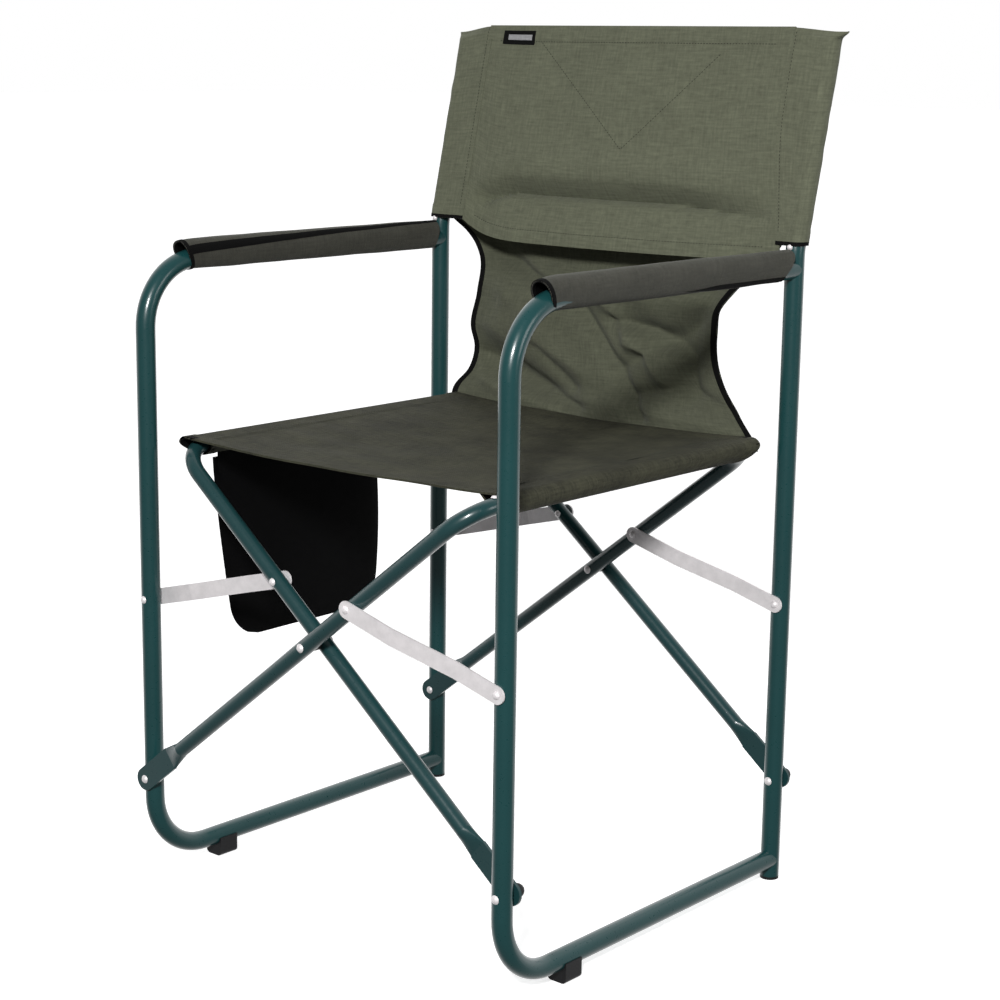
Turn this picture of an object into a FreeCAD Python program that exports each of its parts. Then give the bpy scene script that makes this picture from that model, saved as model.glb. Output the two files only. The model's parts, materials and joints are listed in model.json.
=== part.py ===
import FreeCAD, Part
import math
import os
import Sketcher
from FreeCAD import Placement, Rotation, Vector

# Folding director chair with a painted steel tube frame and fabric seat, back and arms.
# Frame: X across (+X is the chair's side on the right when it is seen from the front),
# -Y the way the chair faces, +Z up, Z = 0 the floor. In each sub-part's own frame Y = 0 is the
# axis of the front uprights, and a side frame's own X = 0 is its middle plane.

DIMS = {
    # side frames
    "half_width": 243.0, "upright_gap": 442.0, "side_dia": 20.0, "leg_dia": 16.0, "wall": 1.2,
    "rail_height": 21.6, "arm_height": 653.7, "corner_radius": 67.0,
    "kink_height": 673.0, "kink_radius": 60.0, "lean": 13.2, "post_top": 876.0,
    # folding legs: two U shaped frames that cross in the middle
    "pivot_height": 110.4, "leg_offset": 12.0, "open_angle": 38.3, "leg_above": 265.0,
    "leg_bend": 38.0, "tongue_width": 24.0, "tongue_thick": 3.2, "tongue_length": 52.0,
    "neck_end": 74.0, "neck_corner": 30.0,
    # flat links between the uprights and the legs
    "link_up": 81.0, "link_height": 304.7, "link_width": 17.0, "link_thick": 2.0,
    "link_flat_low": 52.0, "link_flat_high": 60.0, "link_gap": 0.3,
    # rivets and screws
    "rivet_dia": 5.9, "rivet_hole": 6.0, "rivet_head": 9.0, "rivet_dome": 2.6,
    "link_rivet_dia": 4.9, "link_rivet_hole": 5.0, "link_rivet_head": 8.0, "seat_gap": 0.1,
    "screw_dia": 3.0, "screw_head": 6.4, "screw_rise": 1.6, "screw_past": 4.0,
    "cap_dia": 14.0, "cap_length": 14.0,
    "spacer_dia": 12.0, "spacer_length": 7.4,
    # feet and tube plugs
    "foot_y": 93.0, "foot_length": 24.0, "foot_width": 23.0, "foot_rise": 21.0, "foot_round": 5.0,
    "plug_flange": 3.0, "plug_depth": 22.0, "fit": 0.05,
    # arm pads and fabric
    "arm_front": 61.0, "arm_back_gap": 17.0, "pad_rise": 8.0, "pad_radius": 13.4, "sleeve_radius": 11.6,
    "fabric": 1.3, "soft_gap": 0.35,
    "back_low": 682.0, "back_high": 893.0, "panel_thick": 2.0, "panel_half": 236.0, "panel_forward": 11.0,
    "seat_front": 52.0, "seat_back": 390.0,
    "seat_sag": 9.0, "curtain_half": 193.0, "curtain_y": 438.0, "curtain_low": 483.0, "curtain_high": 679.0,
    "pocket_front": 60.0, "pocket_width": 241.0, "pocket_top": 455.0, "pocket_depth": 204.0,
    "pocket_thick": 12.0, "pocket_wall": 1.5, "pocket_corner": 28.0,
    # distance from the front uprights to the middle of the chair's length
    "middle": 239.85,
}


def leg_below():
    """Length of a leg from its lower pivot to the crossing pivot."""
    return DIMS["half_width"] / math.cos(math.radians(DIMS["open_angle"]))


def link_end():
    """Link's leg pivot seen from its upright pivot: distance inwards and upwards."""
    angle = math.radians(DIMS["open_angle"])
    inwards = (leg_below() - DIMS["link_up"]) * math.cos(angle)
    upwards = DIMS["pivot_height"] + (leg_below() + DIMS["link_up"]) * math.sin(angle) - DIMS["link_height"]
    return inwards, upwards


LEG_BELOW = "(dims.half_width / cos(dims.open_angle * 1deg))"
LEG_TOTAL = f"({LEG_BELOW} + dims.leg_above)"
CROSSING = "(dims.pivot_height + dims.half_width * tan(dims.open_angle * 1deg))"
LINK_IN = f"(({LEG_BELOW} - dims.link_up) * cos(dims.open_angle * 1deg))"
LINK_UP = (f"(dims.pivot_height + ({LEG_BELOW} + dims.link_up) * sin(dims.open_angle * 1deg)"
           " - dims.link_height)")
LINK_LENGTH = f"sqrt({LINK_IN} ^ 2 + {LINK_UP} ^ 2)"

doc = FreeCAD.newDocument("director_chair")
sheet = doc.addObject("Spreadsheet::Sheet", "dims")
sheet.Label = "dims"
for row, (alias, value) in enumerate(DIMS.items(), start=1):
    sheet.set(f"A{row}", alias)
    sheet.set(f"B{row}", str(value))
    sheet.setAlias(f"B{row}", alias)
doc.recompute()

nodes = []


def bind(thing, **expressions):
    """Bind properties to expressions; a double underscore stands for the dot in a path."""
    for path, expression in expressions.items():
        thing.setExpression(path.replace("__", "."), str(expression))
    return thing


def place(thing, x="0", z="0", y="0"):
    """Put a finished sub-part in the chair's frame, with the chair's length centred on Y = 0."""
    bind(thing, Placement__Base__x=x, Placement__Base__y=f"({y}) - dims.middle", Placement__Base__z=z)
    nodes.append(thing)
    return thing


# ---------------------------------------------------------------- sketches

def new_body(label):
    body = doc.addObject("PartDesign::Body", label)
    body.Label = label
    return body


def new_sketch(body, role, name, offset="0"):
    """A sketch on one of the body's own planes, moved along the plane's normal."""
    sketch = body.newObject("Sketcher::SketchObject", name)
    plane = next(item for item in body.Origin.OriginFeatures if item.Role == role)
    sketch.AttachmentSupport = [(plane, "")]
    sketch.MapMode = "FlatFace"
    sketch.setExpression("AttachmentOffset.Base.z", str(offset))
    return sketch


def number(expression):
    """The present value of an expression, used as a sketch's starting geometry."""
    result = sheet.evalExpression(str(expression))
    return float(getattr(result, "Value", result))


def dimension(sketch, kind, *target, size):
    """Add a driving dimension and bind it to the sheet."""
    index = sketch.addConstraint(Sketcher.Constraint(kind, *target, number(size)))
    sketch.setExpression(f"Constraints[{index}]", str(size))


def pin_point(sketch, geometry, vertex, u, v):
    """Fix a point at (u, v) from the sketch's origin."""
    dimension(sketch, "DistanceX", -1, 1, geometry, vertex, size=u)
    dimension(sketch, "DistanceY", -1, 1, geometry, vertex, size=v)


def circle(sketch, u, v, radius):
    geometry = sketch.addGeometry(Part.Circle(Vector(number(u), number(v), 0), Vector(0, 0, 1),
                                              number(radius)))
    pin_point(sketch, geometry, 3, u, v)
    dimension(sketch, "Radius", geometry, size=radius)


def outline(sketch, points):
    """A closed polygon whose corners are pinned to expressions."""
    corners = [Vector(number(u), number(v), 0) for u, v in points]
    lines = [sketch.addGeometry(Part.LineSegment(corner, corners[(index + 1) % len(corners)]))
             for index, corner in enumerate(corners)]
    for index, (u, v) in enumerate(points):
        sketch.addConstraint(Sketcher.Constraint("Coincident", lines[index - 1], 2, lines[index], 1))
        pin_point(sketch, lines[index], 1, u, v)


def arc(sketch, centre, radius, start, end):
    shape = Part.Circle(Vector(centre[0], centre[1], 0), Vector(0, 0, 1), radius)
    return sketch.addGeometry(Part.ArcOfCircle(shape, math.radians(start), math.radians(end)))


def hull(sketch, low, low_radius, high, high_radius):
    """The outline around two circles, one above the other, joined by straight sides."""
    z1, r1, z2, r2 = number(low), number(low_radius), number(high), number(high_radius)
    tilt = math.asin((r2 - r1) / (z2 - z1))
    lean = math.degrees(tilt)
    lower = arc(sketch, (0, z1), r1, 180 + lean, 360 - lean)
    upper = arc(sketch, (0, z2), r2, -lean, 180 + lean)
    sides = []
    for side in (1, -1):
        reach = side * math.cos(tilt)
        foot = Vector(reach * r1, z1 - r1 * math.sin(tilt), 0)
        head = Vector(reach * r2, z2 - r2 * math.sin(tilt), 0)
        sides.append(sketch.addGeometry(Part.LineSegment(foot, head)))
    for line, lower_vertex, upper_vertex in ((sides[0], 2, 1), (sides[1], 1, 2)):
        sketch.addConstraint(Sketcher.Constraint("Tangent", line, 1, lower, lower_vertex))
        sketch.addConstraint(Sketcher.Constraint("Tangent", line, 2, upper, upper_vertex))
    for curve, height, radius in ((lower, low, low_radius), (upper, high, high_radius)):
        sketch.addConstraint(Sketcher.Constraint("PointOnObject", curve, 3, -2))
        dimension(sketch, "DistanceY", -1, 1, curve, 3, size=height)
        dimension(sketch, "Radius", curve, size=radius)


def slot(sketch, length, radius):
    """A rounded strip from the sketch's origin along its first axis."""
    size, r = number(length), number(radius)
    near = arc(sketch, (0, 0), r, 90, 270)
    far = arc(sketch, (size, 0), r, -90, 90)
    low = sketch.addGeometry(Part.LineSegment(Vector(0, -r, 0), Vector(size, -r, 0)))
    high = sketch.addGeometry(Part.LineSegment(Vector(size, r, 0), Vector(0, r, 0)))
    for first, first_end, second, second_end in ((near, 2, low, 1), (low, 2, far, 1),
                                                 (far, 2, high, 1), (high, 2, near, 1)):
        sketch.addConstraint(Sketcher.Constraint("Tangent", first, first_end, second, second_end))
    sketch.addConstraint(Sketcher.Constraint("Coincident", near, 3, -1, 1))
    sketch.addConstraint(Sketcher.Constraint("Horizontal", low))
    dimension(sketch, "DistanceX", -1, 1, far, 3, size=length)
    dimension(sketch, "Radius", near, size=radius)


def rounded_path(sketch, points, radius):
    """Three straight runs through four points, with a round corner at each square turn."""
    corners = [Vector(number(u), number(v), 0) for u, v in points]
    r = number(radius)
    ways = [(after - before).normalize() for before, after in zip(corners, corners[1:])]
    lines = []
    for index, way in enumerate(ways):
        start = corners[index] + way * (r if index > 0 else 0)
        finish = corners[index + 1] - way * (r if index < len(ways) - 1 else 0)
        lines.append(sketch.addGeometry(Part.LineSegment(start, finish)))
        kind = "Horizontal" if abs(way.y) < 0.5 else "Vertical"
        sketch.addConstraint(Sketcher.Constraint(kind, lines[-1]))
    bends = []
    for corner, before, after in zip(corners[1:], ways, ways[1:]):
        centre = corner - before * r + after * r
        middle = centre + (before - after) * (r * math.sqrt(0.5))
        ends = [corner - before * r, corner + after * r]
        if before.cross(after).z < 0:
            ends.reverse()
        bends.append(sketch.addGeometry(Part.Arc(ends[0], middle, ends[1])))
        dimension(sketch, "Radius", bends[-1], size=radius)
    join_smoothly(sketch, (lines[0], bends[0], lines[1], bends[1], lines[2]))
    pin_point(sketch, lines[0], 1, *points[0])
    pin_point(sketch, lines[2], 2, *points[3])
    return lines[1]


def join_smoothly(sketch, chain):
    """Make the elements of an open chain meet end to end and tangent."""
    def ends(geometry):
        element = sketch.Geometry[geometry]
        return element.StartPoint, element.EndPoint
    for first, second in zip(chain, chain[1:]):
        pairs = [((ends(first)[i] - ends(second)[j]).Length, i + 1, j + 1) for i in (0, 1) for j in (0, 1)]
        _, first_end, second_end = min(pairs)
        sketch.addConstraint(Sketcher.Constraint("Tangent", first, first_end, second, second_end))


def sweep(body, profile, path):
    pipe = body.newObject("PartDesign::AdditivePipe", "Sweep")
    pipe.Profile = profile
    pipe.Spine = path
    return pipe


def carve(body, sketch):
    """Cut a sketch's outline right through the body, to both sides of its plane."""
    pocket = body.newObject("PartDesign::Pocket", "Cut")
    pocket.Profile = sketch
    pocket.Type = "ThroughAll"
    pocket.Midplane = True
    return pocket


def through_holes(body, centres, radius, role="XZ_Plane"):
    """Holes right through the body, square to one of its planes."""
    sketch = new_sketch(body, role, "HoleSketch")
    for u, v in centres:
        circle(sketch, u, v, radius)
    return carve(body, sketch)


def pad(body, sketch, length, both=True):
    feature = body.newObject("PartDesign::Pad", "Pad")
    feature.Profile = sketch
    feature.Midplane = both
    feature.setExpression("Length", str(length))
    return feature


# ---------------------------------------------------------------- Part primitives

def cylinder(radius, length, x="0", y="0", z="0", axis="z"):
    """A cylinder that starts at (x, y, z) and runs along +X, +Y or +Z."""
    solid = doc.addObject("Part::Cylinder", "Cylinder")
    turns = {"z": Rotation(), "y": Rotation(Vector(1, 0, 0), -90), "x": Rotation(Vector(0, 1, 0), 90)}
    solid.Placement = Placement(Vector(), turns[axis])
    return bind(solid, Radius=radius, Height=length, Placement__Base__x=x,
                Placement__Base__y=y, Placement__Base__z=z)


def dome(radius, height, x, y, z, facing):
    """A round rivet head on a base at height y, bulging towards -Y (facing -1) or +Y (+1)."""
    cap = doc.addObject("Part::Sphere", "Dome")
    ball = f"(({radius}) ^ 2 + ({height}) ^ 2) / (2 * ({height}))"
    cap.Placement = Placement(Vector(), Rotation(Vector(1, 0, 0), -90 * facing))
    return bind(cap, Radius=ball, Angle1=f"asin(({ball} - ({height})) / ({ball}))", Placement__Base__x=x,
                Placement__Base__y=f"({y}) - ({facing}) * ({ball} - ({height}))", Placement__Base__z=z)


def box(length, width, height, x, y, z):
    solid = doc.addObject("Part::Box", "Box")
    return bind(solid, Length=length, Width=width, Height=height, Placement__Base__x=x,
                Placement__Base__y=y, Placement__Base__z=z)


def fuse(label, solids):
    joined = doc.addObject("Part::MultiFuse", label)
    joined.Shapes = solids
    joined.Label = label
    return joined


def cut(label, base, tool):
    result = doc.addObject("Part::Cut", label)
    result.Base = base
    result.Tool = tool
    result.Label = label
    return result


def rivets(label, places, start, end, shank, head, heads=(-1, 1)):
    """Rivets along Y with a shank from start to end and a domed head at the ends named."""
    solids = []
    for x, y, z in places:
        solids.append(cylinder(f"{shank} / 2", f"({end}) - ({start})", x, f"({y}) + ({start})", z, "y"))
        for facing in heads:
            base = start if facing < 0 else end
            solids.append(dome(f"{head} / 2", "dims.rivet_dome", x, f"({y}) + ({base})", z, facing))
    return fuse(label, solids)


# ---------------------------------------------------------------- side frames

UPRIGHTS = ("0", "dims.upright_gap")
SIDE_R = "dims.side_dia / 2"
LEG_R = "dims.leg_dia / 2"
# outer face of a leg's flat tongue, and of a leg tube, from the plane of the uprights
TONGUE_FACE = "dims.leg_offset + dims.tongue_thick / 2 + dims.seat_gap"
LEG_FACE = f"dims.leg_offset + {LEG_R}"
# how far back the post's axis is at the bottom of its sleeve, and at its top end
LEAN_START = "dims.upright_gap + (dims.back_low - dims.kink_height) * tan(dims.lean * 1deg)"
POST_END = "dims.upright_gap + (dims.post_top - dims.kink_height) * tan(dims.lean * 1deg)"


def ring(sketch, u, v, diameter):
    circle(sketch, u, v, f"{diameter} / 2")
    circle(sketch, u, v, f"{diameter} / 2 - dims.wall")


def side_tube(label, x):
    """Arm, front upright and bottom rail: one tube with two round corners."""
    body = new_body(label)
    path = new_sketch(body, "YZ_Plane", "Path")
    reach = "dims.upright_gap - 2"
    upright = rounded_path(path, [(reach, "dims.arm_height"), ("0", "dims.arm_height"),
                                  ("0", "dims.rail_height"), (reach, "dims.rail_height")],
                           "dims.corner_radius")
    path.addConstraint(Sketcher.Constraint("PointOnObject", upright, 1, -2))
    profile = new_sketch(body, "XZ_Plane", "Section", f"-({reach})")
    ring(profile, "0", "dims.arm_height", "dims.side_dia")
    sweep(body, profile, path)
    through_holes(body, [("0", "dims.pivot_height")], "dims.rivet_hole / 2")
    through_holes(body, [("0", "dims.link_height")], "dims.link_rivet_hole / 2")
    # both rear ends are coped to the round of the back post
    through_holes(body, [("0", "dims.upright_gap")], f"{SIDE_R} + dims.fit", "XY_Plane")
    place(body, x)


def back_post(label, x):
    """Rear upright: straight up to the arm, then leaning back to the top of the backrest."""
    body = new_body(label)
    path = new_sketch(body, "YZ_Plane", "Path")
    gap, foot, kink = number("dims.upright_gap"), number("dims.plug_flange"), number("dims.kink_height")
    lean, top, radius = math.radians(number("dims.lean")), number("dims.post_top"), number("dims.kink_radius")
    tangent = radius * math.tan(lean / 2)
    end = Vector(gap + (top - kink) * math.tan(lean), top, 0)
    low = path.addGeometry(Part.LineSegment(Vector(gap, foot, 0), Vector(gap, kink - tangent, 0)))
    centre = (gap + radius, kink - tangent)
    bend = arc(path, centre, radius, 180 - math.degrees(lean), 180)
    start = Vector(centre[0] - radius * math.cos(lean), centre[1] + radius * math.sin(lean), 0)
    high = path.addGeometry(Part.LineSegment(start, end))
    join_smoothly(path, (low, bend, high))
    path.addConstraint(Sketcher.Constraint("Vertical", low))
    pin_point(path, low, 1, "dims.upright_gap", "dims.plug_flange")
    dimension(path, "Radius", bend, size="dims.kink_radius")
    pin_point(path, high, 2, POST_END, "dims.post_top")
    profile = new_sketch(body, "XY_Plane", "Section", "dims.plug_flange")
    ring(profile, "0", "dims.upright_gap", "dims.side_dia")
    sweep(body, profile, path)
    through_holes(body, [("0", "dims.pivot_height")], "dims.rivet_hole / 2")
    through_holes(body, [("0", "dims.link_height")], "dims.link_rivet_hole / 2")
    place(body, x)


def front_foot(label, x):
    """Rubber shoe under the bottom rail, hollowed to the tube that rests in it."""
    block = box("dims.foot_width", "dims.foot_length", "dims.foot_rise", "-dims.foot_width / 2",
                "dims.foot_y - dims.foot_length / 2", "0")
    hollow = cylinder(f"{SIDE_R} + dims.fit", "dims.foot_length + 2", "0",
                      "dims.foot_y - dims.foot_length / 2 - 1", "dims.rail_height", "y")
    shoe = cut(label + "_raw", block, hollow)
    rounded = doc.addObject("Part::Fillet", label)
    rounded.Base = shoe
    doc.recompute()
    radius = number("dims.foot_round")
    rounded.Edges = [(index, radius, radius) for index, edge in enumerate(shoe.Shape.Edges, start=1)
                     if edge.BoundBox.XLength + edge.BoundBox.ZMax < 1e-6]
    rounded.Label = label
    place(rounded, x)


def plug(label, x, y, z, flange_down, tilt="0"):
    """Plastic plug in the end of a tube, with a flange as wide as the tube."""
    flange = cylinder(SIDE_R, "dims.plug_flange")
    stem = cylinder(f"{SIDE_R} - dims.wall - dims.fit", "dims.plug_depth")
    if flange_down:
        bind(stem, Placement__Base__z="dims.plug_flange")
    else:
        bind(flange, Placement__Base__z="dims.plug_depth")
    whole = fuse(label, [flange, stem])
    whole.Placement = Placement(Vector(), Rotation(Vector(1, 0, 0), -1))
    bind(whole, Placement__Rotation__Angle=tilt)
    place(whole, x, z, y)


def arm_pad(label, x):
    """Foam strip that lies on the arm tube inside its sleeve."""
    body = new_body(label)
    length = "dims.upright_gap - dims.arm_back_gap - dims.arm_front - 6"
    section = new_sketch(body, "XZ_Plane", "Section", "-(dims.arm_front + 3)")
    inset = "(dims.fabric + dims.soft_gap)"
    hull(section, "dims.arm_height", f"dims.sleeve_radius - {inset}",
         "dims.arm_height + dims.pad_rise", f"dims.pad_radius - {inset}")
    block = pad(body, section, length, both=False)
    block.Reversed = True
    tube_room = new_sketch(body, "XZ_Plane", "TubeRoom")
    circle(tube_room, "0", "dims.arm_height", f"{SIDE_R} + dims.fit")
    carve(body, tube_room)
    under_side = new_sketch(body, "XZ_Plane", "UnderSide")
    low, high, half = "dims.arm_height - dims.side_dia", "dims.arm_height + 1", "dims.side_dia"
    outline(under_side, [(f"-{half}", low), (half, low), (half, high), (f"-{half}", high)])
    carve(body, under_side)
    place(body, x)


def arm_sleeve(label, x):
    """Fabric sleeve round the arm tube and its foam."""
    body = new_body(label)
    section = new_sketch(body, "XZ_Plane", "Section", "-dims.arm_front")
    hull(section, "dims.arm_height", "dims.sleeve_radius", "dims.arm_height + dims.pad_rise",
         "dims.pad_radius")
    hull(section, "dims.arm_height", "dims.sleeve_radius - dims.fabric",
         "dims.arm_height + dims.pad_rise", "dims.pad_radius - dims.fabric")
    tube = pad(body, section, "dims.upright_gap - dims.arm_back_gap - dims.arm_front", both=False)
    tube.Reversed = True
    place(body, x)


def back_sleeve(label, x):
    """Fabric sleeve round the leaning part of a back post."""
    length = "(dims.back_high - dims.back_low) / cos(dims.lean * 1deg)"
    outer = cylinder(f"{SIDE_R} + dims.soft_gap + dims.fabric", length)
    inner = cylinder(f"{SIDE_R} + dims.soft_gap", f"{length} + 2", z="-1")
    sleeve = cut(label, outer, inner)
    sleeve.Placement = Placement(Vector(), Rotation(Vector(-1, 0, 0), number("dims.lean")))
    bind(sleeve, Placement__Rotation__Angle="dims.lean")
    place(sleeve, x, "dims.back_low", LEAN_START)


def side_frame(name, x):
    """All the rigid pieces of one side, left or right."""
    side_tube(f"side_tube_{name}", x)
    back_post(f"back_post_{name}", x)
    front_foot(f"front_foot_{name}", x)
    plug(f"rear_foot_{name}", x, "dims.upright_gap", "0", flange_down=True)
    arm_pad(f"arm_pad_{name}", x)
    arm_sleeve(f"arm_sleeve_{name}", x)
    back_sleeve(f"back_sleeve_{name}", x)
    depth = "dims.plug_depth"
    cap = f"{POST_END} - {depth} * sin(dims.lean * 1deg)"
    top = f"dims.post_top - {depth} * cos(dims.lean * 1deg)"
    plug(f"post_cap_{name}", x, cap, top, flange_down=False, tilt="-dims.lean")
    screw = rivets(f"post_screw_{name}", [("0", "dims.upright_gap", "dims.back_low - 5.5")],
                   f"-{SIDE_R} - dims.seat_gap", f"-{SIDE_R} + 0.2",
                   "dims.screw_dia", "dims.screw_head", (-1,))
    place(screw, x)


def pivot_fasteners():
    """Rivets that the legs and links turn on; each belongs to its side frame."""
    pivots = [("0", y, "dims.pivot_height") for y in UPRIGHTS]
    links = [("0", y, "dims.link_height") for y in UPRIGHTS]
    face = f"{SIDE_R} + dims.seat_gap"
    link_face = f"{SIDE_R} + dims.link_gap + dims.link_thick + dims.seat_gap"
    left, right = "-dims.half_width", "dims.half_width"
    place(rivets("pivot_rivets_left", pivots, f"-({TONGUE_FACE})", face,
                 "dims.rivet_dia", "dims.rivet_head"), left)
    place(rivets("pivot_rivets_right", pivots, f"-({face})", TONGUE_FACE,
                 "dims.rivet_dia", "dims.rivet_head", (-1,)), right)
    place(rivets("link_rivets_left", links, f"-({face})", link_face,
                 "dims.link_rivet_dia", "dims.link_rivet_head"), left)
    place(rivets("link_rivets_right", links, f"-({link_face})", face,
                 "dims.link_rivet_dia", "dims.link_rivet_head"), right)
    caps = []
    for y in UPRIGHTS:
        base = f"{y} + {TONGUE_FACE}"
        caps.append(cylinder("dims.cap_dia / 2", "dims.cap_length / 2", "0", base, "dims.pivot_height", "y"))
        caps.append(dome("dims.cap_dia / 2", "dims.cap_length / 2", "0",
                         f"{base} + dims.cap_length / 2", "dims.pivot_height", 1))
    place(fuse("pivot_caps_right", caps), right)


# ---------------------------------------------------------------- crossing leg frames

def tongue_section(sketch, y):
    """Flat section of a leg: a strip with half round edges, drawn as four edges."""
    half, r = number("dims.tongue_width / 2 - dims.tongue_thick / 2"), number("dims.tongue_thick / 2")
    y0 = number(y)
    right = arc(sketch, (half, y0), r, -90, 90)
    top = sketch.addGeometry(Part.LineSegment(Vector(half, y0 + r, 0), Vector(-half, y0 + r, 0)))
    left = arc(sketch, (-half, y0), r, 90, 270)
    bottom = sketch.addGeometry(Part.LineSegment(Vector(-half, y0 - r, 0), Vector(half, y0 - r, 0)))
    for first, second in ((right, top), (top, left), (left, bottom), (bottom, right)):
        sketch.addConstraint(Sketcher.Constraint("Tangent", first, 2, second, 1))
    sketch.addConstraint(Sketcher.Constraint("Horizontal", top))
    dimension(sketch, "Radius", right, size="dims.tongue_thick / 2")
    pin_point(sketch, right, 3, "(dims.tongue_width - dims.tongue_thick) / 2", y)
    dimension(sketch, "DistanceX", left, 3, -1, 1, size="(dims.tongue_width - dims.tongue_thick) / 2")


def tube_section(sketch, y):
    """Round section of a leg as four arcs, so that it matches the flat section edge for edge."""
    corner, r, y0 = number("dims.neck_corner"), number(LEG_R), number(y)
    breaks = (-corner, corner, 180 - corner, 180 + corner, 360 - corner)
    arcs = [arc(sketch, (0, y0), r, begin, end) for begin, end in zip(breaks, breaks[1:])]
    for first, second in zip(arcs, arcs[1:] + arcs[:1]):
        sketch.addConstraint(Sketcher.Constraint("Coincident", first, 2, second, 1))
    for curve in arcs[1:]:
        sketch.addConstraint(Sketcher.Constraint("Coincident", arcs[0], 3, curve, 3))
    pin_point(sketch, arcs[0], 3, "0", y)
    dimension(sketch, "Radius", arcs[0], size=LEG_R)
    reach = f"{LEG_R} * cos(dims.neck_corner * 1deg)"
    for curve, vertex, sign in ((arcs[0], 1, ""), (arcs[1], 1, ""), (arcs[2], 1, "-"), (arcs[3], 1, "-")):
        dimension(sketch, "DistanceX", -1, 1, curve, vertex, size=f"{sign}{reach}")


def tongue(sketch):
    """Outline of a leg's flat end, round about the pivot, with the pivot's hole."""
    r, length = number("dims.tongue_width / 2"), number("dims.tongue_length")
    end = arc(sketch, (0, 0), r, 180, 360)
    right = sketch.addGeometry(Part.LineSegment(Vector(r, 0, 0), Vector(r, length, 0)))
    top = sketch.addGeometry(Part.LineSegment(Vector(r, length, 0), Vector(-r, length, 0)))
    left = sketch.addGeometry(Part.LineSegment(Vector(-r, length, 0), Vector(-r, 0, 0)))
    sketch.addConstraint(Sketcher.Constraint("Tangent", end, 2, right, 1))
    sketch.addConstraint(Sketcher.Constraint("Coincident", right, 2, top, 1))
    sketch.addConstraint(Sketcher.Constraint("Coincident", top, 2, left, 1))
    sketch.addConstraint(Sketcher.Constraint("Tangent", left, 2, end, 1))
    sketch.addConstraint(Sketcher.Constraint("Coincident", end, 3, -1, 1))
    sketch.addConstraint(Sketcher.Constraint("Vertical", right))
    sketch.addConstraint(Sketcher.Constraint("Horizontal", top))
    dimension(sketch, "Radius", end, size="dims.tongue_width / 2")
    dimension(sketch, "DistanceY", -1, 1, right, 2, size="dims.tongue_length")
    circle(sketch, "0", "0", "dims.rivet_hole / 2")


def leg_frame(label, side):
    """One U shaped tube: two legs and the seat rail between them, with flattened lower ends.

    Its own Z runs up along the legs, its own Y from the front leg to the rear leg."""
    body = new_body(label)
    path = new_sketch(body, "YZ_Plane", "Path")
    rail = rounded_path(path, [("0", "dims.neck_end"), ("0", LEG_TOTAL), ("dims.upright_gap", LEG_TOTAL),
                               ("dims.upright_gap", "dims.neck_end")], "dims.leg_bend")
    dimension(path, "DistanceY", -1, 1, rail, 1, size=LEG_TOTAL)
    profile = new_sketch(body, "XY_Plane", "Section", "dims.neck_end")
    ring(profile, "0", "0", "dims.leg_dia")
    sweep(body, profile, path)
    for y in UPRIGHTS:
        flat = new_sketch(body, "XY_Plane", "FlatSection", "dims.tongue_length")
        tongue_section(flat, y)
        round_end = new_sketch(body, "XY_Plane", "RoundSection", "dims.neck_end")
        tube_section(round_end, y)
        neck_loft = body.newObject("PartDesign::AdditiveLoft", "Neck")
        neck_loft.Profile = flat
        neck_loft.Sections = [round_end]
        blade = new_sketch(body, "XZ_Plane", "Tongue", f"-({y})")
        tongue(blade)
        pad(body, blade, "dims.tongue_thick")
    through_holes(body, [("0", LEG_BELOW)], "dims.rivet_hole / 2")
    through_holes(body, [("0", f"{LEG_BELOW} + dims.link_up")], "dims.link_rivet_hole / 2")
    body.Placement = Placement(Vector(), Rotation(Vector(0, side, 0), 90 - DIMS["open_angle"]))
    bind(body, Placement__Rotation__Angle="90 - dims.open_angle")
    place(body, f"{-side} * dims.half_width", "dims.pivot_height", f"{-side} * dims.leg_offset")


def leg_fasteners():
    """Crossing rivets and spacers, link rivets and the screws that hold the seat sleeves."""
    crossing = [("0", y, "0") for y in UPRIGHTS]
    place(rivets("cross_rivets", crossing, f"-({LEG_FACE} + dims.seat_gap)", f"{LEG_FACE} + dims.seat_gap",
                 "dims.rivet_dia", "dims.rivet_head"), "0", CROSSING)
    washers = fuse("cross_washers_raw", [
        cylinder("dims.spacer_dia / 2", "dims.spacer_length", "0", f"{y} - dims.spacer_length / 2", "0", "y")
        for y in UPRIGHTS])
    bores = fuse("cross_washers_bore", [
        cylinder("dims.rivet_hole / 2", "dims.spacer_length + 2", "0",
                 f"{y} - dims.spacer_length / 2 - 1", "0", "y") for y in UPRIGHTS])
    place(cut("cross_spacers", washers, bores), "0", CROSSING)
    for name, side in (("right", 1), ("left", -1)):
        # the rivet stays short of the link, which carries its own head
        inner = f"{LEG_R} + dims.seat_gap"
        outer = f"{LEG_R} + 0.1"
        start, end = (f"-({outer})", inner) if side > 0 else (f"-({inner})", outer)
        stud = rivets(f"leg_rivets_{name}", [("0", y, "0") for y in UPRIGHTS], start, end,
                      "dims.link_rivet_dia", "dims.link_rivet_head", (side,))
        place(stud, f"{side} * dims.link_up * cos(dims.open_angle * 1deg)",
              f"{CROSSING} + dims.link_up * sin(dims.open_angle * 1deg)", f"{-side} * dims.leg_offset")


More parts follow.
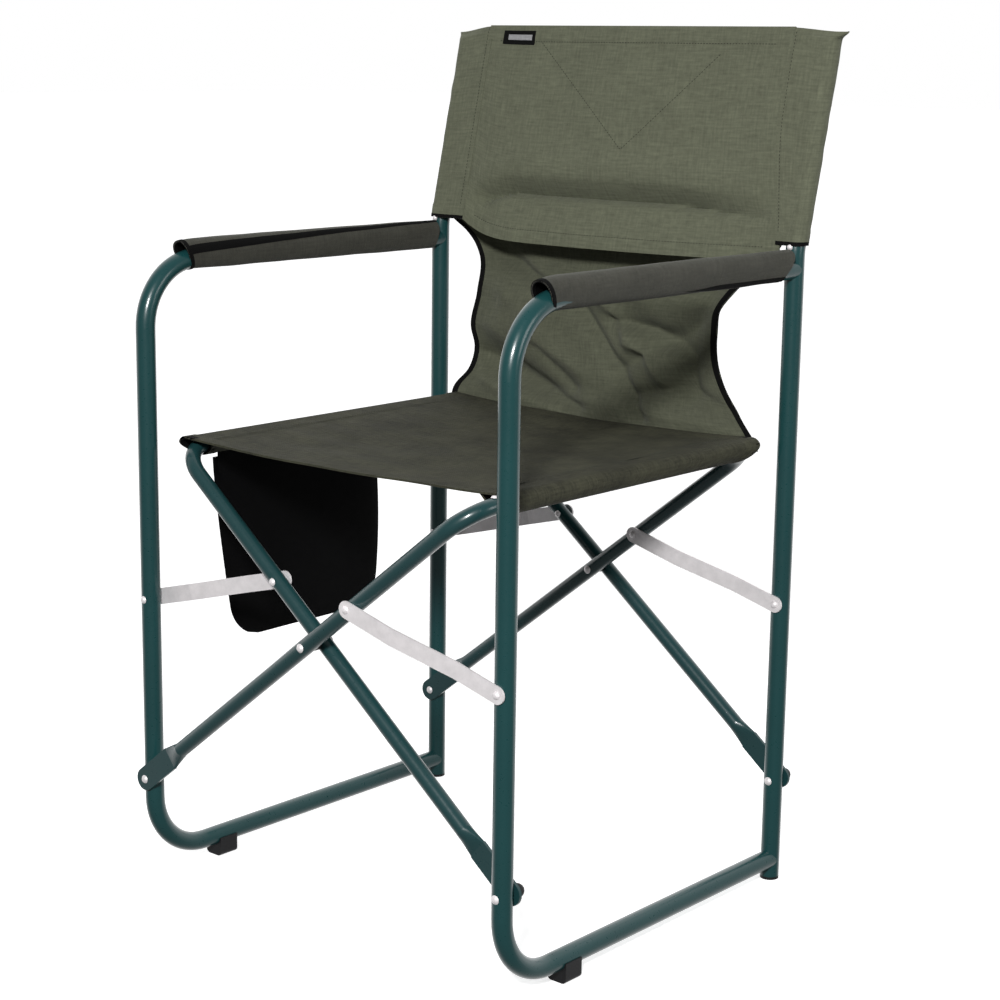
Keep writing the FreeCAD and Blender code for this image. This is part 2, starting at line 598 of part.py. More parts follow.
def seat_screws(name, side):
    """Two small screw heads on the rail, one just past each end of the seat's sleeve."""
    heads = []
    for y in ("dims.leg_bend - dims.screw_past", "dims.upright_gap - dims.leg_bend + dims.screw_past"):
        head = doc.addObject("Part::Cone", "ScrewHead")
        bind(head, Radius1="dims.screw_head / 2", Radius2="dims.screw_head / 3", Height="dims.screw_rise",
             Placement__Base__y=y, Placement__Base__z=f"{LEG_R} + dims.seat_gap")
        heads.append(head)
    group = fuse(f"seat_screws_{name}", heads)
    place(group, f"{side} * dims.leg_above * cos(dims.open_angle * 1deg)",
          f"{CROSSING} + dims.leg_above * sin(dims.open_angle * 1deg)", f"{-side} * dims.leg_offset")


# ---------------------------------------------------------------- links

def link(label, side, y):
    """Flat strip from an upright to a leg, with a gentle set between its two flat ends.

    Its own X runs from the upright pivot to the leg pivot."""
    body = new_body(label)
    near = f"({SIDE_R} + dims.link_gap)"
    far = f"({LEG_FACE} + dims.link_gap)"
    low, high = "dims.link_flat_low", f"({LINK_LENGTH} - dims.link_flat_high)"
    tip = f"({LINK_LENGTH} + 20)"
    edge = new_sketch(body, "XY_Plane", "Edge")
    outline(edge, [("-20", near), (low, near), (high, far), (tip, far), (tip, f"{far} + dims.link_thick"),
                   (high, f"{far} + dims.link_thick"), (low, f"{near} + dims.link_thick"),
                   ("-20", f"{near} + dims.link_thick")])
    pad(body, edge, "dims.link_width")
    trim = new_sketch(body, "XZ_Plane", "Trim")
    outline(trim, [("-40", "-40"), (f"{tip} + 20", "-40"), (f"{tip} + 20", "40"), ("-40", "40")])
    slot(trim, LINK_LENGTH, "dims.link_width / 2")
    circle(trim, "0", "0", "dims.link_rivet_hole / 2")
    circle(trim, LINK_LENGTH, "0", "dims.link_rivet_hole / 2")
    carve(body, trim)
    turn_link(body, side)
    place(body, f"{side} * dims.half_width", "dims.link_height", y)


def turn_link(thing, side):
    """Point a link inwards and up: a left link by a turn about Y, a right link by a half turn."""
    inwards, upwards = link_end()
    slope = math.atan2(upwards, inwards)
    if side < 0:
        thing.Placement = Placement(Vector(), Rotation(Vector(0, 1, 0), -math.degrees(slope)))
    else:
        halfway = Vector(math.sin(slope / 2), 0, math.cos(slope / 2))
        thing.Placement = Placement(Vector(), Rotation(halfway, 180))


def link_pin(label, side, y):
    """Rivet at the link's leg end, through the strip only."""
    face = f"({LEG_FACE} + dims.link_gap)"
    pin = rivets(label, [(LINK_LENGTH, "0", "0")], f"{face} + 0.05",
                 f"{face} + dims.link_thick + dims.seat_gap", "dims.link_rivet_dia",
                 "dims.link_rivet_head", (1,))
    turn_link(pin, side)
    place(pin, f"{side} * dims.half_width", "dims.link_height", y)


# ---------------------------------------------------------------- fabric

def seat_fabric():
    """Seat: a sleeve round each rail and the sagging cloth between them."""
    reach = "dims.leg_above * cos(dims.open_angle * 1deg)"
    height = f"({CROSSING} + dims.leg_above * sin(dims.open_angle * 1deg))"
    length = "dims.seat_back - dims.seat_front"
    radius = f"{LEG_R} + dims.soft_gap"
    sleeves, rooms = [], []
    for x in (f"-({reach})", reach):
        sleeves.append(cylinder(f"{radius} + dims.fabric", length, x, "dims.seat_front", height, "y"))
        rooms.append(cylinder(radius, f"{length} + 2", x, "dims.seat_front - 1", height, "y"))
    body = new_body("seat_cloth")
    section = new_sketch(body, "XZ_Plane", "Section", "-dims.seat_front")
    drop, thick = "dims.seat_sag", "dims.panel_thick"
    outline(section, [(f"-({reach})", f"{height} + {radius}"), ("0", f"{height} + {radius} - {drop}"),
                      (reach, f"{height} + {radius}"), (reach, f"{height} + {radius} - {thick}"),
                      ("0", f"{height} + {radius} - {drop} - {thick}"),
                      (f"-({reach})", f"{height} + {radius} - {thick}")])
    cloth = pad(body, section, length, both=False)
    cloth.Reversed = True
    place(cut("seat_fabric", fuse("seat_raw", sleeves + [body]), fuse("seat_rooms", rooms)))


def back_panel():
    """Cloth between the two back sleeves, taut across the front of the leaning posts."""
    panel = box("2 * dims.panel_half", "dims.panel_thick",
                "(dims.back_high - dims.back_low) / cos(dims.lean * 1deg)", "0", "0", "0")
    panel.Label = "back_panel"
    panel.Placement = Placement(Vector(), Rotation(Vector(-1, 0, 0), number("dims.lean")))
    bind(panel, Placement__Rotation__Angle="dims.lean")
    forward = "(dims.panel_thick / 2 + dims.panel_forward) / cos(dims.lean * 1deg)"
    place(panel, "-dims.panel_half", "dims.back_low", f"{LEAN_START} - {forward}")


def back_curtain():
    """Loose cloth from the bottom of the backrest down to the rear of the seat."""
    curtain = box("2 * dims.curtain_half", "dims.panel_thick", "dims.curtain_high - dims.curtain_low",
                  "0", "0", "0")
    curtain.Label = "back_curtain"
    place(curtain, "-dims.curtain_half", "dims.curtain_low", "dims.curtain_y")


def side_pocket():
    """Flat pocket under the left seat rail: open at the top, round at its lower corners."""
    body = new_body("side_pocket")
    front, back = "dims.pocket_front", "dims.pocket_front + dims.pocket_width"
    low = "(dims.pocket_top - dims.pocket_depth)"
    face = new_sketch(body, "YZ_Plane", "Face")
    outline(face, [(front, low), (back, low), (back, "dims.pocket_top"), (front, "dims.pocket_top")])
    bag = pad(body, face, "dims.pocket_thick")
    doc.recompute()
    corners = [f"Edge{index}" for index, edge in enumerate(bag.Shape.Edges, start=1)
               if abs(edge.BoundBox.YLength + edge.BoundBox.ZLength) < 1e-6
               and edge.CenterOfMass.z < number("dims.pocket_top") - 1]
    rounding = body.newObject("PartDesign::Fillet", "LowerCorners")
    rounding.Base = (bag, corners)
    rounding.setExpression("Radius", "dims.pocket_corner")
    inside = new_sketch(body, "YZ_Plane", "Inside")
    wall, deep = "dims.pocket_wall", "(dims.pocket_corner * 0.4)"
    near, far, above = f"{front} + {wall}", f"{back} - {wall}", "dims.pocket_top + 1"
    outline(inside, [(f"{front} + {deep}", f"{low} + {wall}"), (f"{back} - {deep}", f"{low} + {wall}"),
                     (far, f"{low} + {deep} + {wall}"), (far, above), (near, above),
                     (near, f"{low} + {deep} + {wall}")])
    hollow = body.newObject("PartDesign::Pocket", "Inside")
    hollow.Profile = inside
    hollow.Midplane = True
    hollow.setExpression("Length", "dims.pocket_thick - 2 * dims.pocket_wall")
    place(body, "-dims.leg_above * cos(dims.open_angle * 1deg)")


side_frame("left", "-dims.half_width")
side_frame("right", "dims.half_width")
pivot_fasteners()
leg_frame("leg_frame_right", 1)
leg_frame("leg_frame_left", -1)
leg_fasteners()
seat_screws("right", 1)
seat_screws("left", -1)
for end, place_y in (("front", "0"), ("rear", "dims.upright_gap")):
    for name, side in (("left", -1), ("right", 1)):
        link(f"link_{end}_{name}", side, place_y)
        link_pin(f"link_pin_{end}_{name}", side, place_y)
seat_fabric()
back_panel()
back_curtain()
side_pocket()
doc.recompute()

broken = [item.Name for item in doc.Objects if "Invalid" in item.State or "Error" in item.State]
for node in nodes:
    if node.Shape.isNull() or not node.Shape.isValid() or not node.Shape.Solids:
        broken.append(node.Label)
if broken:
    raise RuntimeError("not built: " + ", ".join(broken))

os.makedirs("parts", exist_ok=True)
whole = FreeCAD.BoundBox()
for node in nodes:
    node.Shape.exportStep(f"parts/{node.Label}.step")
    whole.add(node.Shape.BoundBox)
print(len(nodes), "nodes; X", round(whole.XMin, 2), round(whole.XMax, 2), "Y", round(whole.YMin, 2),
      round(whole.YMax, 2), "Z", round(whole.ZMin, 2), round(whole.ZMax, 2))
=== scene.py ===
import json
import math

import bpy
import numpy as np
from mathutils import Matrix, Vector, noise


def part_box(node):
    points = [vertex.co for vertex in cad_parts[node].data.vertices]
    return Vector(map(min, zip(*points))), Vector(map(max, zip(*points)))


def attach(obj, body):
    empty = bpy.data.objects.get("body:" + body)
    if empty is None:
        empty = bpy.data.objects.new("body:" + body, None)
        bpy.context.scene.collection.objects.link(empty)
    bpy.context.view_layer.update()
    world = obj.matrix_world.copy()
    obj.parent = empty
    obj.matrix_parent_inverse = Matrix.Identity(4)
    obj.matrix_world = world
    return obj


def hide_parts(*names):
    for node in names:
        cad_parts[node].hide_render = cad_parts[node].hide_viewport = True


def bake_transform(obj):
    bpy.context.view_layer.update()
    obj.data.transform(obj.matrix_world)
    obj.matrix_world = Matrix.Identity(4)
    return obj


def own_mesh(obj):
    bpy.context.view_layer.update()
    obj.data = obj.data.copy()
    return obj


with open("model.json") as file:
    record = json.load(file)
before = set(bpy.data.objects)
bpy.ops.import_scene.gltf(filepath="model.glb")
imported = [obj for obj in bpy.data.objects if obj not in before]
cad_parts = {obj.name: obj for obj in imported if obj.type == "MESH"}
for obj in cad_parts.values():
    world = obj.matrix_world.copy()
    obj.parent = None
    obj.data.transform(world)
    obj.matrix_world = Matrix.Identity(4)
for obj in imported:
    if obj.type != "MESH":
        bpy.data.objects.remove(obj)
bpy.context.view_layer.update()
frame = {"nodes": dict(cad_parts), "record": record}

# ---------------------------------------------------------------- places read from the CAD frame

TUBE_R = 0.010                     # side tubes and posts
LEG_R = 0.008                      # crossing legs and seat rails
ARM_BEND = 0.067                   # the bend from the front upright into the arm
LEAN = math.radians(13.2)          # how far the back posts lean
KINK_Z = 0.673                     # where they start to lean
CLOTH = 0.0013                     # thickness of the cloth
VIEW_YAW = 0.7108                  # how far round to the chair's right the photograph's view is

post_low, post_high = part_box("back_post_right")
POST_X = (post_low.x + post_high.x) / 2
POST_Y = post_low.y + TUBE_R
tube_low, tube_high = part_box("side_tube_right")
UPRIGHT_Y = tube_low.y + TUBE_R
ARM_Z = tube_high.z - TUBE_R
rails = {}
for side, name in ((-1, "left"), (1, "right")):
    low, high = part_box(f"leg_frame_{name}")
    rails[side] = {"x": high.x - LEG_R if side > 0 else low.x + LEG_R, "z": high.z - LEG_R,
                   "front": low.y + LEG_R, "rear": high.y - LEG_R}
BACK_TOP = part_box("back_panel")[1].z + 0.0015


def chair_y(distance):
    """Row y of a point this far behind the axis of the front uprights."""
    return UPRIGHT_Y + distance


def post_axis_y(z):
    """Row y of a back post's axis at height z, with its kink."""
    above = z - KINK_Z
    return POST_Y + 0.5 * math.tan(LEAN) * (above + np.sqrt(above ** 2 + 0.004 ** 2))


def smooth(t):
    t = np.clip(t, 0, 1)
    return t * t * (3 - 2 * t)


def mix(a, b, t):
    return a + (b - a) * t


# ---------------------------------------------------------------- materials

def node(tree, kind, inputs=(), **settings):
    """A shader node with settings and inputs: an input is a value or another node's socket."""
    made = tree.nodes.new("ShaderNode" + kind)
    for key, value in settings.items():
        setattr(made, key, value)
    for key, value in dict(inputs).items():
        if isinstance(value, bpy.types.NodeSocket):
            tree.links.new(value, made.inputs[key])
        else:
            made.inputs[key].default_value = value
    return made


def math_node(tree, operation, a, b=0.0):
    return node(tree, "Math", {0: a, 1: b}, operation=operation).outputs[0]


def mix_colour(tree, factor, a, b):
    return node(tree, "Mix", {0: factor, 6: a, 7: b}, data_type="RGBA").outputs[2]


def shade(colour, factor):
    return (*(channel * factor for channel in colour), 1.0)


def noise_at(tree, vector, scale, detail=2.0, roughness=0.5):
    return node(tree, "TexNoise", {"Vector": vector, "Scale": scale, "Detail": detail,
                                   "Roughness": roughness}).outputs["Fac"]


def scaled(tree, vector, scale):
    return node(tree, "VectorMath", {0: vector, 1: scale}, operation="MULTIPLY").outputs[0]


def bumped(tree, height, distance, strength, normal=None):
    inputs = {"Height": height, "Distance": distance, "Strength": strength}
    if normal is not None:
        inputs["Normal"] = normal
    return node(tree, "Bump", inputs).outputs["Normal"]


def new_material(name):
    material = bpy.data.materials.new(name)
    material.use_nodes = True
    return material, material.node_tree, material.node_tree.nodes["Principled BSDF"]


def cloth_material(name, colour, thread=0.0013, sheen=0.10, relief=0.8, contrast=0.26, gloss=0.3,
                   patches=0.14):
    """Plain woven polyester: two crossing yarns, uneven yarn colour and soft mottling."""
    material, tree, surface = new_material(name)
    uv = node(tree, "UVMap", uv_map="weave").outputs["UV"]
    parts = node(tree, "SeparateXYZ", {0: uv}).outputs
    turn = math.pi / thread
    warp = math_node(tree, "SINE", math_node(tree, "MULTIPLY", parts[0], turn))
    weft = math_node(tree, "SINE", math_node(tree, "MULTIPLY", parts[1], turn))
    over = math_node(tree, "MULTIPLY_ADD", math_node(tree, "MULTIPLY", warp, weft), 3.0)
    over.node.inputs[2].default_value = 0.5
    over.node.use_clamp = True
    yarn = node(tree, "Mix", {0: over, 2: math_node(tree, "ABSOLUTE", warp),
                              3: math_node(tree, "ABSOLUTE", weft)}, data_type="FLOAT").outputs[0]
    slub_u = noise_at(tree, scaled(tree, uv, (420, 40, 1)), 1.0, 3.0, 0.6)
    slub_v = noise_at(tree, scaled(tree, uv, (40, 420, 1)), 1.0, 3.0, 0.6)
    mottle = noise_at(tree, uv, 210.0, 4.0, 0.65)
    worn = noise_at(tree, uv, 16.0, 5.0, 0.6)
    tone = math_node(tree, "ADD", math_node(tree, "MULTIPLY", slub_u, 0.30),
                     math_node(tree, "MULTIPLY", slub_v, 0.34))
    tone = math_node(tree, "ADD", tone, math_node(tree, "MULTIPLY", mottle, 0.22))
    tone = math_node(tree, "ADD", tone, math_node(tree, "MULTIPLY", worn, patches))
    middle = (0.86 + patches) / 2
    tone = node(tree, "MapRange", {0: tone, 1: middle - 0.12, 2: middle + 0.12, 3: 0.0,
                                   4: 1.0}).outputs[0]
    base = mix_colour(tree, tone, shade(colour, 1 - contrast), shade(colour, 1 + contrast))
    groove = node(tree, "MapRange", {0: yarn, 1: 0.0, 2: 0.7, 3: 0.72, 4: 1.05}).outputs[0]
    base = node(tree, "VectorMath", {0: base, 1: groove}, operation="MULTIPLY").outputs[0]
    tree.links.new(base, surface.inputs["Base Color"])
    surface.inputs["Roughness"].default_value = 0.82
    surface.inputs["Specular IOR Level"].default_value = gloss
    surface.inputs["Sheen Weight"].default_value = sheen
    surface.inputs["Sheen Roughness"].default_value = 0.45
    surface.inputs["Sheen Tint"].default_value = (0.9, 0.93, 0.85, 1.0)
    weave_bump = bumped(tree, yarn, 0.00022, relief)
    tree.links.new(bumped(tree, mottle, 0.0005, 0.30, weave_bump), surface.inputs["Normal"])
    return material


def painted_material(name, colour):
    """Glossy paint on tube: faint orange peel, uneven gloss and a few dull rubbed spots."""
    material, tree, surface = new_material(name)
    place = node(tree, "TexCoord").outputs["Object"]
    drift = noise_at(tree, place, 14.0, 3.0)
    rub = noise_at(tree, place, 260.0, 5.0, 0.7)
    spots = node(tree, "MapRange", {0: rub, 1: 0.64, 2: 0.78, 3: 0.0, 4: 1.0}).outputs[0]
    base = mix_colour(tree, drift, shade(colour, 0.88), shade(colour, 1.12))
    base = mix_colour(tree, math_node(tree, "MULTIPLY", spots, 0.20), base, shade(colour, 1.6))
    tree.links.new(base, surface.inputs["Base Color"])
    gloss = node(tree, "MapRange", {0: rub, 1: 0.35, 2: 0.75, 3: 0.27, 4: 0.36}).outputs[0]
    tree.links.new(gloss, surface.inputs["Roughness"])
    surface.inputs["Coat Weight"].default_value = 0.45
    surface.inputs["Coat Roughness"].default_value = 0.12
    peel = noise_at(tree, place, 700.0, 2.0)
    tree.links.new(bumped(tree, peel, 0.0002, 0.10), surface.inputs["Normal"])
    return material


def zinc_material(name, colour):
    """Zinc plated steel: drawn along its length, with pale cloudy spangle."""
    material, tree, surface = new_material(name)
    place = node(tree, "TexCoord").outputs["Object"]
    grain = noise_at(tree, scaled(tree, place, (60, 900, 900)), 1.0, 3.0)
    cloud = noise_at(tree, place, 90.0, 4.0, 0.6)
    base = mix_colour(tree, cloud, shade(colour, 0.80), shade(colour, 1.15))
    tree.links.new(base, surface.inputs["Base Color"])
    surface.inputs["Metallic"].default_value = 0.30
    rough = math_node(tree, "MULTIPLY_ADD", grain, 0.22)
    rough.node.inputs[2].default_value = 0.34
    tree.links.new(rough, surface.inputs["Roughness"])
    tree.links.new(bumped(tree, grain, 0.0002, 0.25), surface.inputs["Normal"])
    return material


def plastic_material(name, colour):
    """Moulded plastic: fine spark texture and a little dust."""
    material, tree, surface = new_material(name)
    place = node(tree, "TexCoord").outputs["Object"]
    spark = noise_at(tree, place, 900.0, 3.0, 0.6)
    dust = noise_at(tree, place, 60.0, 3.0)
    tree.links.new(mix_colour(tree, dust, shade(colour, 0.8), shade(colour, 1.6)),
                   surface.inputs["Base Color"])
    gloss = node(tree, "MapRange", {0: spark, 1: 0.3, 2: 0.7, 3: 0.42, 4: 0.62}).outputs[0]
    tree.links.new(gloss, surface.inputs["Roughness"])
    tree.links.new(bumped(tree, spark, 0.0003, 0.3), surface.inputs["Normal"])
    return material


cloth = cloth_material("olive_cloth", (0.122, 0.130, 0.086))
# painted shade: the loose cloth is the backrest's olive cloth made darker, its lower colour standing in for
# the shade that falls on it
loose_painted_shade_cloth = cloth_material("olive_loose_painted_shade", (0.090, 0.095, 0.063))
# painted shade: the seat is the same olive cloth at about a third of the backrest's brightness, its darker
# colour standing in for the weaker light on its top; its random mottling is also stronger
seat_cloth = cloth_material("olive_seat_cloth", (0.044, 0.044, 0.027), sheen=0.0, contrast=0.50,
                            patches=0.40)
# painted shade: the arm sleeves are the same olive cloth made darker, their lower colour standing in for
# less light on them; their random mottling is also stronger
arm_painted_shade_cloth = cloth_material("olive_arm_painted_shade", (0.050, 0.049, 0.039), patches=0.4)
black_cloth = cloth_material("black_cloth", (0.0014, 0.0014, 0.0016), sheen=0.0, gloss=0.08)
binding = cloth_material("black_binding", (0.003, 0.003, 0.003), thread=0.0016, sheen=0.0, gloss=0.12)
thread = cloth_material("stitch_thread", (0.040, 0.040, 0.028), thread=0.0006)
tag_cloth = cloth_material("pale_tag", (0.33, 0.33, 0.34), thread=0.0008)
paint = painted_material("green_paint", (0.008, 0.054, 0.056))
leg_paint = painted_material("green_leg_paint", (0.012, 0.050, 0.053))
zinc = zinc_material("zinc", (0.95, 0.91, 0.92))
plastic = plastic_material("black_plastic", (0.005, 0.005, 0.006))

for part in frame["record"]["subparts"]:
    look = {"paint": paint, "leg_paint": leg_paint, "zinc": zinc, "black_plastic": plastic}.get(
        part["material_slot"], cloth)
    mesh = frame["nodes"][part["node"]].data
    mesh.materials.clear()
    mesh.materials.append(look)


# ---------------------------------------------------------------- cloth meshes

def lengths(grid, axis, closed=False):
    """Running length along one axis of a grid of points, averaged over the other axis."""
    steps = np.linalg.norm(np.diff(grid, axis=axis), axis=2).mean(axis=1 - axis)
    if closed:
        gap = np.linalg.norm(grid.take(0, axis) - grid.take(-1, axis), axis=1).mean()
        steps = np.append(steps, gap)
    return np.concatenate([[0], np.cumsum(steps)])


def normals(grid, closed=False):
    if closed:
        across = np.roll(grid, -1, axis=1) - np.roll(grid, 1, axis=1)
    else:
        across = np.gradient(grid, axis=1)
    along = np.gradient(grid, axis=0)
    result = np.cross(across, along)
    return result / np.maximum(np.linalg.norm(result, axis=2, keepdims=True), 1e-12)


def make_object(name, points, faces, materials, face_material=None, uvs=None):
    mesh = bpy.data.meshes.new(name)
    mesh.from_pydata([tuple(map(float, p)) for p in points], [], faces)
    for material in materials:
        mesh.materials.append(material)
    if face_material is not None:
        mesh.polygons.foreach_set("material_index", face_material)
    if uvs is not None:
        layer = mesh.uv_layers.new(name="weave")
        layer.data.foreach_set("uv", np.asarray(uvs, float).ravel())
    mesh.polygons.foreach_set("use_smooth", [True] * len(mesh.polygons))
    mesh.set_sharp_from_angle(angle=math.radians(50))
    mesh.update()
    made = bpy.data.objects.new(name, mesh)
    bpy.context.scene.collection.objects.link(made)
    return made


def sheet_mesh(name, grid, materials, thickness=CLOTH, closed=False, raised=None):
    """A cloth with two faces and a rim. The grid is its outer face, seen with its normals out."""
    grid = np.asarray(grid, float)
    rows, columns = grid.shape[:2]
    facing = normals(grid, closed)
    outer = grid if raised is None else grid + facing * np.asarray(raised)[..., None]
    inner = grid - facing * thickness
    points = np.concatenate([outer.reshape(-1, 3), inner.reshape(-1, 3)])
    u, v = lengths(grid, 1, closed), lengths(grid, 0)
    count = rows * columns
    faces, kinds, uvs = [], [], []

    def add(corners, kind):
        faces.append([(i * columns + j % columns) + layer * count for i, j, layer in corners])
        kinds.append(kind)
        uvs.extend((u[j], v[i]) for i, j, _ in corners)

    lining = 1 if len(materials) > 1 else 0
    last_row, last_column = rows - 1, columns - 1
    for i in range(last_row):
        for j in range(columns if closed else last_column):
            add([(i, j, 0), (i, j + 1, 0), (i + 1, j + 1, 0), (i + 1, j, 0)], 0)
            add([(i, j, 1), (i + 1, j, 1), (i + 1, j + 1, 1), (i, j + 1, 1)], lining)
        if not closed:
            add([(i, 0, 0), (i + 1, 0, 0), (i + 1, 0, 1), (i, 0, 1)], 0)
            add([(i + 1, last_column, 0), (i, last_column, 0), (i, last_column, 1),
                 (i + 1, last_column, 1)], 0)
    for j in range(columns if closed else last_column):
        add([(0, j + 1, 0), (0, j, 0), (0, j, 1), (0, j + 1, 1)], 0)
        add([(last_row, j, 0), (last_row, j + 1, 0), (last_row, j + 1, 1), (last_row, j, 1)], 0)
    return make_object(name, points, faces, materials, kinds, uvs)


def sample(grid, rows, columns):
    """Points of a grid at fractional row and column numbers."""
    rows = np.clip(rows, 0, grid.shape[0] - 1.000001)
    columns = np.clip(columns, 0, grid.shape[1] - 1.000001)
    i, j = np.floor(rows).astype(int), np.floor(columns).astype(int)
    a, b = (rows - i)[..., None], (columns - j)[..., None]
    return (grid[i, j] * (1 - a) * (1 - b) + grid[i + 1, j] * a * (1 - b)
            + grid[i, j + 1] * (1 - a) * b + grid[i + 1, j + 1] * a * b)


def strip_on(name, grid, rows, columns, material, lift=0.0007, base=CLOTH):
    """Tape sewn round part of a sheet, such as a binding: rows and columns are its ranges."""
    ri, ci = np.meshgrid(rows, columns, indexing="ij")
    facing = normals(grid)
    outer = sample(grid, ri, ci) + sample(facing, ri, ci) * lift
    return sheet_mesh(name, outer, [material], base + 2 * lift)


STITCH, STITCH_GAP, STITCH_R = 0.0026, 0.0011, 0.00034


def stitches(name, lines):
    """Rows of thread stitches. A line is (points, normals) along a cloth's surface."""
    points, faces, uvs = [], [], []
    profile = ((0.0, 0.0), (0.18, 0.8), (0.5, 1.0), (0.82, 0.8), (1.0, 0.0))
    sides = 6
    for line, facing in lines:
        run = np.concatenate([[0], np.cumsum(np.linalg.norm(np.diff(line, axis=0), axis=1))])
        starts = np.arange(0, run[-1] - STITCH, STITCH + STITCH_GAP)
        for start in starts:
            ends = [np.array([np.interp(s, run, line[:, k]) for k in range(3)])
                    for s in (start, start + STITCH)]
            up = np.array([np.interp(start + STITCH / 2, run, facing[:, k]) for k in range(3)])
            up /= np.linalg.norm(up)
            way = ends[1] - ends[0]
            aside = np.cross(way, up)
            aside /= np.linalg.norm(aside)
            first = len(points)
            for along, size in profile:
                centre = ends[0] + way * along + up * STITCH_R * 0.6 * size
                for k in range(sides):
                    angle = 2 * math.pi * k / sides
                    offset = aside * math.cos(angle) * 1.25 + up * math.sin(angle) * 0.8
                    points.append(centre + offset * STITCH_R * max(size, 0.15))
            for ring in range(len(profile) - 1):
                for k in range(sides):
                    a, b = first + ring * sides + k, first + ring * sides + (k + 1) % sides
                    faces.append([a, b, b + sides, a + sides])
                    uvs += [(k * 0.0003, ring * 0.0006)] * 4
            faces.append([first + k for k in reversed(range(sides))])
            faces.append([first + (len(profile) - 1) * sides + k for k in range(sides)])
            uvs += [(0, 0)] * (2 * sides)
    return make_object(name, points, faces, [thread], None, uvs)


def line_on(grid, rows, columns):
    """Points and normals along a path given in fractional rows and columns of a grid."""
    rows, columns = np.broadcast_arrays(np.asarray(rows, float), np.asarray(columns, float))
    return sample(grid, rows, columns), sample(normals(grid), rows, columns)


def ripple(x, y, z, scale, seed):
    """Smooth noise at arrays of points, the same on every run."""
    flat = [noise.noise(Vector((a * scale[0] + seed, b * scale[1], c * scale[2])))
            for a, b, c in zip(np.ravel(x), np.ravel(y), np.ravel(z))]
    return np.reshape(flat, np.shape(x))


# ---------------------------------------------------------------- seat

SEAT_SLEEVE_R = LEG_R + 0.0026
SEAT_SEAM = 0.024                  # from the rail's axis to the sleeve's stitching
SEAT_SAG = 0.006


def rail_profile(turns=22, flat=7):
    """Sleeve section from the top of the rail outwards, round and back to its seam: (out, up)."""
    r = SEAT_SLEEVE_R
    seam = np.array([-SEAT_SEAM, r - 2.4 * CLOTH])
    reach = np.linalg.norm(seam)
    last = math.atan2(seam[0], seam[1]) % (2 * math.pi) - math.acos(r / reach)
    angles = np.linspace(0, last, turns)
    arc = np.stack([r * np.sin(angles), r * np.cos(angles)], axis=1)
    run = arc[-1] + (seam - arc[-1]) * np.linspace(0, 1, flat)[1:, None]
    return np.concatenate([arc, run]), np.concatenate([angles, np.full(flat - 1, last)])


# front and rear ends of the seat on each rail, at the top and at the bottom of its sleeve
SEAT_ENDS = {-1: (0.020, 0.043, 0.434, 0.424), 1: (0.026, 0.030, 0.430, 0.401)}


def seat_grid(rows=90, middle=64):
    profile, angles = rail_profile()
    under = smooth((angles - math.radians(60)) / math.radians(110))
    t = np.linspace(0, 1, rows)[:, None]
    sides = {}
    for side in (-1, 1):
        front, front_low, rear, rear_low = SEAT_ENDS[side]
        y = chair_y(mix(mix(front, front_low, under), mix(rear, rear_low, under), t))
        x = np.broadcast_to(rails[side]["x"] + side * profile[:, 0], y.shape)
        z = np.broadcast_to(rails[side]["z"] + profile[:, 1], y.shape)
        sides[side] = np.stack([x, y, z], axis=2)
    s = np.linspace(-1, 1, middle)[None, 1:-1]
    left, right = sides[-1][:, :1], sides[1][:, :1]
    cloth_part = mix(left, right, ((s + 1) / 2)[..., None])
    crown = 1 - s ** 2
    cloth_part[..., 1] += crown * (1 - t) * 0.003
    sag = SEAT_SAG + 0.004 * np.sin(math.pi * t)
    wrinkle = ripple(cloth_part[..., 0], cloth_part[..., 1], 0 * cloth_part[..., 0], (5, 34, 1), 3.1)
    pull = ripple(cloth_part[..., 0], cloth_part[..., 1], 0 * cloth_part[..., 0], (9, 9, 1), 8.4)
    cloth_part[..., 2] += -sag * crown + (0.0018 * wrinkle + 0.0026 * pull) * np.sqrt(crown)
    return np.concatenate([sides[-1][:, ::-1], cloth_part, sides[1]], axis=1), len(profile)


seat, wrap = seat_grid()
hem = np.zeros(seat.shape[:2])
hem[:4] = hem[-4:] = 0.0007
# the seat cloth's darker colour is painted shade
seat_piece = sheet_mesh("seat_cloth", seat, [seat_cloth, black_cloth], raised=hem)
last = seat.shape[1] - 1
lengthwise = np.linspace(0, seat.shape[0] - 1, 300)
across = np.linspace(wrap + 1, last - wrap - 1, 300)
seat_lines = []
for offset in (3.3, 4.0):
    seat_lines.append(line_on(seat, lengthwise, wrap - 1 + offset))
    seat_lines.append(line_on(seat, lengthwise, last - wrap + 1 - offset))
for row in (3.0, seat.shape[0] - 4.0):
    seat_lines.append(line_on(seat, row, across))
seat_stitches = stitches("seat_stitches", seat_lines)
left_mouth = strip_on("seat_binding_left", seat, np.linspace(0, 1.6, 3),
                      np.linspace(4, wrap + 1, 30), binding)
right_mouth = strip_on("seat_binding_right", seat,
                       np.linspace(seat.shape[0] - 2.6, seat.shape[0] - 1, 3),
                       np.linspace(last - wrap - 1, last - 6, 30), binding)
for piece in (seat_piece, seat_stitches, left_mouth, right_mouth):
    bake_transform(piece)
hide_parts("seat_fabric")


# ---------------------------------------------------------------- backrest

BACK_R = TUBE_R + 0.0019           # outside of the cloth round a post
HEM_Z = 0.680                      # bottom of the backrest at the posts
SAG_Z = 0.6575                     # and at its middle
LAP = 0.004                        # how far it runs on under the sleeves' seams
CREASE_Z = 0.709                   # the deep crease across it
SEWN_V = ((-0.125, 0.876), (0.009, 0.764), (0.119, 0.866))   # its stitched V, as (x, z)
TAG_X, TAG_Z = (-0.182, -0.136), (0.8740, 0.8885)


